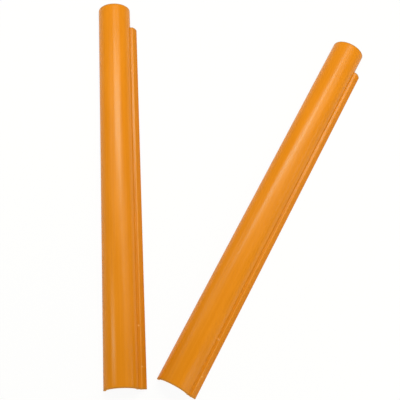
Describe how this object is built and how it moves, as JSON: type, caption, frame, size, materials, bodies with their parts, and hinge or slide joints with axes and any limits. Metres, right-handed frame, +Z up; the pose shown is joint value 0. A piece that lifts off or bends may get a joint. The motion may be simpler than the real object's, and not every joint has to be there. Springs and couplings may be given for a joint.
{
  "type": "delineator post",
  "caption": "Split round marker post in orange plastic: half-round shells laid open, each with a plain edge, a stepped lip that laps over its mate, and a plain tongue end.",
  "frame": {"origin": "on the floor, under the middle of the pair of shells", "axes": "+Z up from the floor; +Y along the left shell, from its near end to its tongue; +X from the left shell to the right one"},
  "size_m": [0.6378, 0.9396, 0.0405],
  "materials": {
    "orange_plastic": "satin extruded plastic with a soft gloss"
  },
  "bodies": {
    "left_half": {"left_half_shell": "orange_plastic"},
    "right_half": {"right_half_shell": "orange_plastic"}
  },
  "joints": [
    {"name": "right_half_lift", "type": "slide", "parent": "left_half", "child": "right_half", "axis": [0, 0, 1], "range_m": [0, 0.15]}
  ]
}
